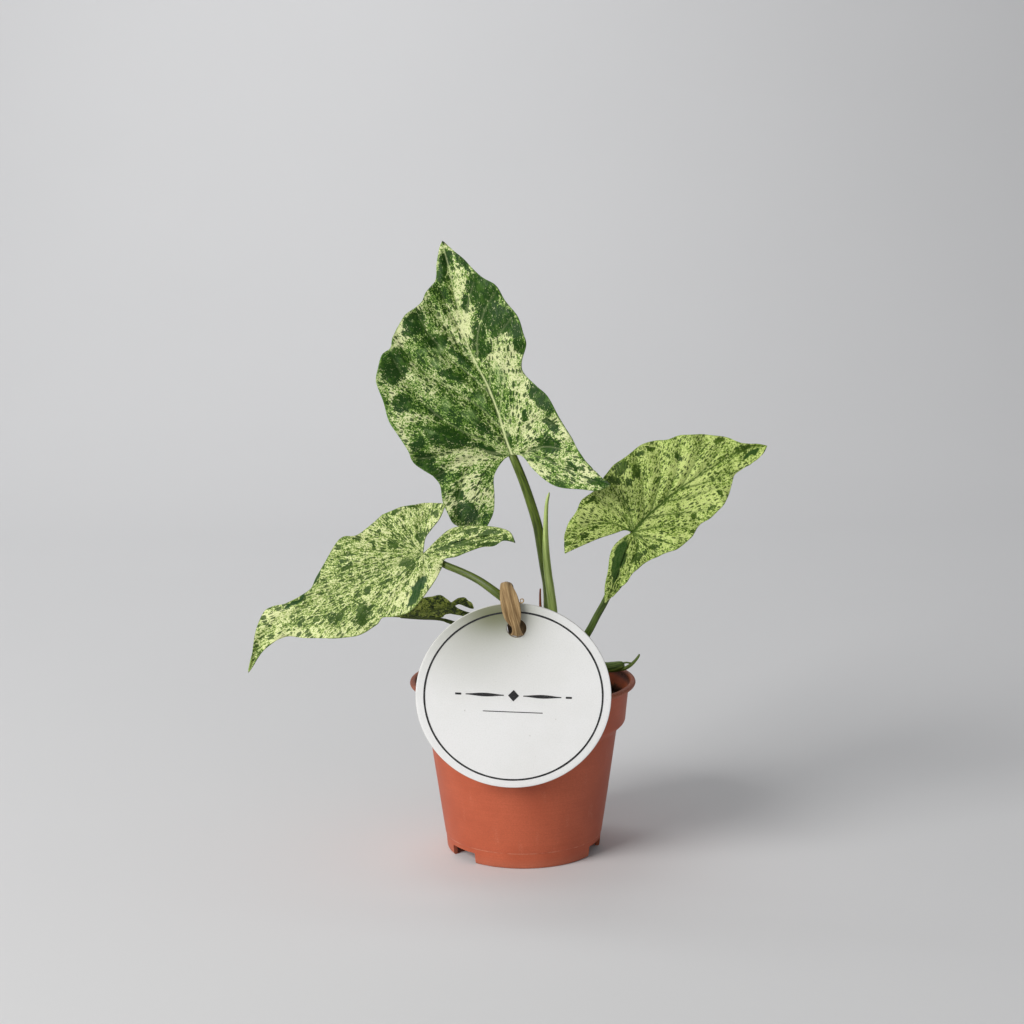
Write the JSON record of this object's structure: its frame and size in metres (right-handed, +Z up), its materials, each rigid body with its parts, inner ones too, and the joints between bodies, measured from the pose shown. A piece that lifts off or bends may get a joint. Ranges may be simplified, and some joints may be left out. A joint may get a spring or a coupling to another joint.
{
  "type": "potted arrowhead plant",
  "caption": "Young variegated arrowhead-leaved houseplant in a small terracotta-coloured nursery pot, with a round card label tied to a stalk.",
  "frame": {"origin": "on the surface that the pot stands on, under the middle of the whole plant's bounding box; the pot's axis stands 3.2 mm to its right and 3.0 mm behind it", "axes": "+Z up along the pot's axis, -Y towards the front where the card hangs, +X to the right of someone who looks at the card"},
  "size_m": [0.1318, 0.066, 0.1604],
  "materials": {
    "pot": "satin",
    "soil": "matte",
    "stalk": "satin",
    "leaf_green": "satin",
    "leaf_pale": "satin",
    "leaf_dark": "satin",
    "shoot": "satin",
    "dried": "matte",
    "card": "satin",
    "raffia": "matte"
  },
  "bodies": {
    "root": {"pot": "pot", "potting_soil": "soil", "crown_stem": "stalk", "tall_leaf_blade": "leaf_green", "tall_leaf_stalk": "stalk", "left_leaf_blade": "leaf_pale", "left_leaf_stalk": "stalk", "right_leaf_blade": "leaf_pale", "right_leaf_stalk": "stalk", "small_leaf_blade": "leaf_dark", "small_leaf_stalk": "stalk", "spear_leaf": "shoot", "curled_shoot": "leaf_dark", "dried_sheath": "dried", "tag": "card", "tag_tie": "raffia"}
  },
  "joints": []
}
